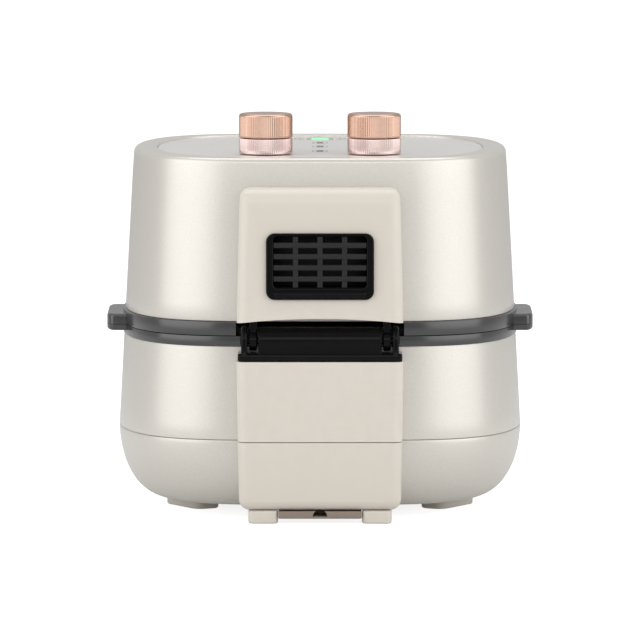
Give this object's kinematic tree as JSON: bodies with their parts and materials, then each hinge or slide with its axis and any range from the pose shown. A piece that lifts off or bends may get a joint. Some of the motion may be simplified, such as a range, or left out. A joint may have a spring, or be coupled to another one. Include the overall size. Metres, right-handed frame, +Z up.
{
  "type": "air fryer",
  "caption": "Flip-top air fryer: painted squircle body, hinged lid with rear exhaust box and rose-gold knobs, inner pot with side grips and fan heating in the lid.",
  "frame": {"origin": "on the ground, at the middle of the outline", "axes": "+Z up; +Y to the front, where the user stands; +X to the right seen from the back; the hinge is at the back, on the -Y side"},
  "size_m": [0.3476, 0.3638, 0.3244],
  "materials": {
    "pearl_paint": "moulded shell in satin pearl champagne paint",
    "cream_plastic": "fine matte cream moulding",
    "taupe_plastic": "matte taupe moulding",
    "charcoal_plastic": "satin charcoal moulding",
    "black_plastic": "satin black moulding",
    "rose_gold": "satin rose-gold metal, knurled",
    "top_panel": "satin warm grey paint",
    "steel": "plain sheet and wire steel",
    "nonstick": "dark non-stick coating",
    "silicone": "dark silicone",
    "green_lens": "lit green lens",
    "circuit": "green circuit board"
  },
  "bodies": {
    "base": {"base_tub": "pearl_paint", "body_shell": "pearl_paint", "pot_rim_ring": "charcoal_plastic", "rear_housing_lower": "cream_plastic", "rear_housing_base": "cream_plastic", "hinge_housing": "black_plastic", "hinge_pin": "steel", "lid_spring": "steel", "base_plate": "taupe_plastic", "base_screw_1": "steel", "base_screw_2": "steel", "base_screw_3": "steel", "base_screw_4": "steel", "rear_foot_left": "cream_plastic", "rear_foot_right": "cream_plastic", "middle_foot_left": "cream_plastic", "middle_foot_right": "cream_plastic", "front_foot_left": "cream_plastic", "front_foot_right": "cream_plastic", "terminal_block": "black_plastic", "safety_switch": "black_plastic", "body_liner": "steel", "inner_pot": "nonstick", "crisper_tray": "nonstick"},
    "lid": {"lid_shell": "pearl_paint", "lid_ring": "charcoal_plastic", "lid_top_panel": "top_panel", "rear_housing_upper": "cream_plastic", "vent_bezel": "black_plastic", "vent_grille": "black_plastic", "exhaust_duct": "steel", "display_lens": "green_lens", "control_board": "circuit", "temperature_control": "black_plastic", "timer_control": "black_plastic", "lid_heat_shield": "steel", "heating_element": "steel", "element_guard": "steel", "lid_gasket": "silicone", "fan_motor": "steel", "motor_bracket": "steel", "lid_handle": "charcoal_plastic", "hinge_arm_left": "black_plastic", "hinge_arm_right": "black_plastic"},
    "rotor": {"motor_shaft": "steel", "convection_fan": "steel", "cooling_fan": "black_plastic"},
    "temperature_knob": {"temperature_knob_cap": "rose_gold", "temperature_knob_collar": "rose_gold", "temperature_spindle": "steel"},
    "timer_knob": {"timer_knob_cap": "rose_gold", "timer_knob_collar": "rose_gold", "timer_spindle": "steel"}
  },
  "joints": [
    {"name": "lid_hinge", "type": "hinge", "parent": "base", "child": "lid", "pos_m": [0, -0.16559, 0.147], "axis": [1, 0, 0], "range_deg": [0, 75]},
    {"name": "fan_spin", "type": "hinge", "parent": "lid", "child": "rotor", "pos_m": [0, 0, 0.2], "axis": [0, 0, 1], "continuous": true},
    {"name": "temperature_knob_turn", "type": "hinge", "parent": "lid", "child": "temperature_knob", "pos_m": [0.0439, -0.08, 0.292], "axis": [0, 0, 1], "range_deg": [-270, 0]},
    {"name": "timer_knob_turn", "type": "hinge", "parent": "lid", "child": "timer_knob", "pos_m": [-0.0439, -0.08, 0.292], "axis": [0, 0, 1], "range_deg": [-300, 0]}
  ]
}
